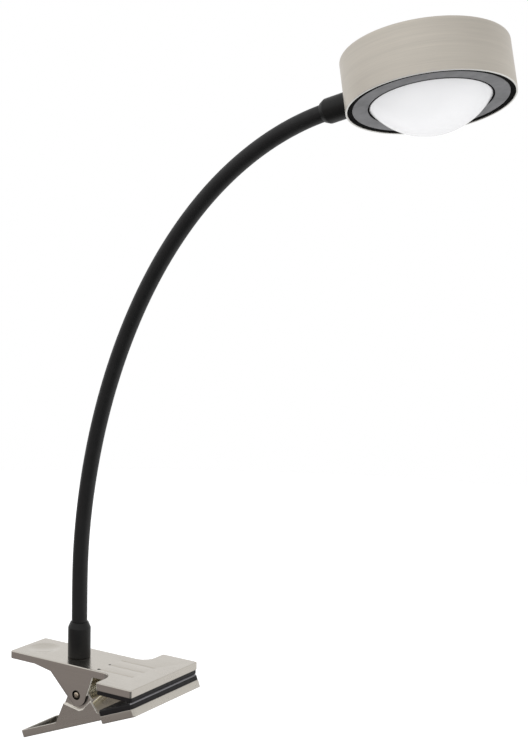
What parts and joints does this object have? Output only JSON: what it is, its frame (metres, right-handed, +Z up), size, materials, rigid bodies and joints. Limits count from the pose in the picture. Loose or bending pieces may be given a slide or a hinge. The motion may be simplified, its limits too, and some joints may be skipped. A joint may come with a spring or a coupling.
{
  "type": "clip-on reading lamp",
  "caption": "Clip-on reading lamp: sprung sheet-metal clamp with rubber pads, black bendable arm and a round brushed nickel LED head with a domed lens.",
  "frame": {"origin": "middle of the upper pad's grip face, which lies on the top of the shelf or board that the lamp is clipped to", "axes": "+Z up, away from the board; +X along the jaws towards their mouth and the head; +Y across the jaws"},
  "size_m": [0.2826, 0.0832, 0.3905],
  "materials": {
    "nickel_upper": "brushed nickel plate, satin",
    "nickel_lower": "brushed nickel plate, satin",
    "nickel_shell": "fine circumferential brushing, satin",
    "rivet_steel": "plated",
    "spring_steel": "yellow passivated wire",
    "pad_rubber": "matt",
    "ferrule_black": "satin black paint",
    "sleeve_black": "satin black sleeve",
    "core_steel": "bright wire",
    "zinc_hardware": "zinc plated",
    "brass_stud": "turned",
    "lead_sheath": "matt",
    "wire_red": "insulation",
    "aluminium_plate": "mill finish",
    "board_white": "white solder mask on aluminium",
    "board_green": "solder mask",
    "part_black": "moulded",
    "led_yellow": "phosphor",
    "terminal_white": "moulded nylon",
    "reflector_white": "moulded",
    "bezel_black": "moulded",
    "trim_grey": "dark grey, finely turned",
    "gasket_black": "matt",
    "lens_frosted": "frosted, slightly glossy"
  },
  "bodies": {
    "clip_body": {"upper_jaw": "nickel_upper", "pivot_rivet": "rivet_steel", "torsion_spring": "spring_steel", "upper_pad": "pad_rubber", "base_ferrule": "ferrule_black", "base_nipple": "brass_stud", "base_washer": "zinc_hardware", "base_nut": "zinc_hardware", "inlet_bush": "gasket_black", "supply_lead": "lead_sheath", "neck_sleeve_1": "sleeve_black", "neck_core_1": "core_steel"},
    "lower_jaw_body": {"lower_jaw": "nickel_lower", "lower_pad": "pad_rubber"},
    "neck_link_2": {"neck_sleeve_2": "sleeve_black", "neck_core_2": "core_steel"},
    "neck_link_3": {"neck_sleeve_3": "sleeve_black", "neck_core_3": "core_steel"},
    "neck_link_4": {"neck_sleeve_4": "sleeve_black", "neck_core_4": "core_steel"},
    "neck_link_5": {"neck_sleeve_5": "sleeve_black", "neck_core_5": "core_steel"},
    "neck_link_6": {"neck_sleeve_6": "sleeve_black", "neck_core_6": "core_steel"},
    "neck_link_7": {"neck_sleeve_7": "sleeve_black", "neck_core_7": "core_steel"},
    "neck_link_8": {"neck_sleeve_8": "sleeve_black", "neck_core_8": "core_steel"},
    "neck_link_9": {"neck_sleeve_9": "sleeve_black", "neck_core_9": "core_steel"},
    "neck_link_10": {"neck_sleeve_10": "sleeve_black", "neck_core_10": "core_steel"},
    "neck_link_11": {"neck_sleeve_11": "sleeve_black", "neck_core_11": "core_steel"},
    "neck_link_12": {"neck_sleeve_12": "sleeve_black", "neck_core_12": "core_steel", "top_ferrule": "ferrule_black", "head_washer": "zinc_hardware", "head_nut": "zinc_hardware"},
    "head_body": {"head_shell": "nickel_shell", "heat_spreader": "aluminium_plate", "led_board": "board_white", "led_chips": "led_yellow", "driver_board": "board_green", "driver_parts": "part_black", "terminal_block": "terminal_white", "lead_tails": "wire_red", "board_screws": "zinc_hardware", "spreader_screws": "zinc_hardware", "reflector": "reflector_white", "bezel_ring": "bezel_black", "trim_ring": "trim_grey", "lens_gasket": "gasket_black", "lens": "lens_frosted"}
  },
  "joints": [
    {"name": "jaw_pivot", "type": "hinge", "parent": "clip_body", "child": "lower_jaw_body", "pos_m": [-0.0371, 0, -0.0097], "axis": [0, 1, 0], "range_deg": [0, 40], "stiffness_Nm_per_rad": 1.15, "springref_deg": -49.85, "deforming": ["torsion_spring"]},
    {"name": "neck_lower_bend", "type": "hinge", "parent": "clip_body", "child": "neck_link_2", "pos_m": [-0.0473, 0, 0.0336], "axis": [0, 1, 0], "range_deg": [-12, 15], "deforming": ["supply_lead"]},
    {"name": "neck_lower_bend_2", "type": "hinge", "parent": "neck_link_2", "child": "neck_link_3", "pos_m": [-0.04674, 0, 0.06596], "axis": [0, 1, 0], "range_deg": [-12, 15]},
    {"name": "neck_side_bend", "type": "hinge", "parent": "neck_link_3", "child": "neck_link_4", "pos_m": [-0.04339, 0, 0.09815], "axis": [0.989, 0, -0.1482], "range_deg": [-18, 18]},
    {"name": "neck_lower_bend_3", "type": "hinge", "parent": "neck_link_4", "child": "neck_link_5", "pos_m": [-0.03716, 0, 0.12991], "axis": [0, 1, 0], "range_deg": [-12, 15]},
    {"name": "neck_lower_bend_4", "type": "hinge", "parent": "neck_link_5", "child": "neck_link_6", "pos_m": [-0.02807, 0, 0.16097], "axis": [0, 1, 0], "range_deg": [-12, 15]},
    {"name": "neck_side_bend_2", "type": "hinge", "parent": "neck_link_6", "child": "neck_link_7", "pos_m": [-0.01606, 0, 0.19102], "axis": [0.9075, 0, -0.42], "range_deg": [-18, 18]},
    {"name": "neck_upper_bend", "type": "hinge", "parent": "neck_link_7", "child": "neck_link_8", "pos_m": [-0.00093, 0, 0.21962], "axis": [0, 1, 0], "range_deg": [-15, 12]},
    {"name": "neck_upper_bend_2", "type": "hinge", "parent": "neck_link_8", "child": "neck_link_9", "pos_m": [0.01755, 0, 0.24618], "axis": [0, 1, 0], "range_deg": [-15, 12]},
    {"name": "neck_side_bend_3", "type": "hinge", "parent": "neck_link_9", "child": "neck_link_10", "pos_m": [0.0396, 0, 0.26983], "axis": [0.6718, 0, -0.7407], "range_deg": [-18, 18]},
    {"name": "neck_upper_bend_3", "type": "hinge", "parent": "neck_link_10", "child": "neck_link_11", "pos_m": [0.06528, 0, 0.28947], "axis": [0, 1, 0], "range_deg": [-15, 12]},
    {"name": "neck_upper_bend_4", "type": "hinge", "parent": "neck_link_11", "child": "neck_link_12", "pos_m": [0.09424, 0, 0.30383], "axis": [0, 1, 0], "range_deg": [-15, 12]},
    {"name": "head_turn", "type": "hinge", "parent": "neck_link_12", "child": "head_body", "pos_m": [0.1177, 0, 0.3112], "axis": [0.9583, 0, 0.2857], "range_deg": [-90, 90]}
  ],
  "couplings": [
    {"joint": "neck_lower_bend_2", "follows": "neck_lower_bend", "ratio": 1},
    {"joint": "neck_lower_bend_3", "follows": "neck_lower_bend", "ratio": 1},
    {"joint": "neck_lower_bend_4", "follows": "neck_lower_bend", "ratio": 1},
    {"joint": "neck_side_bend_2", "follows": "neck_side_bend", "ratio": 1},
    {"joint": "neck_side_bend_3", "follows": "neck_side_bend", "ratio": 1},
    {"joint": "neck_upper_bend_2", "follows": "neck_upper_bend", "ratio": 1},
    {"joint": "neck_upper_bend_3", "follows": "neck_upper_bend", "ratio": 1},
    {"joint": "neck_upper_bend_4", "follows": "neck_upper_bend", "ratio": 1}
  ]
}
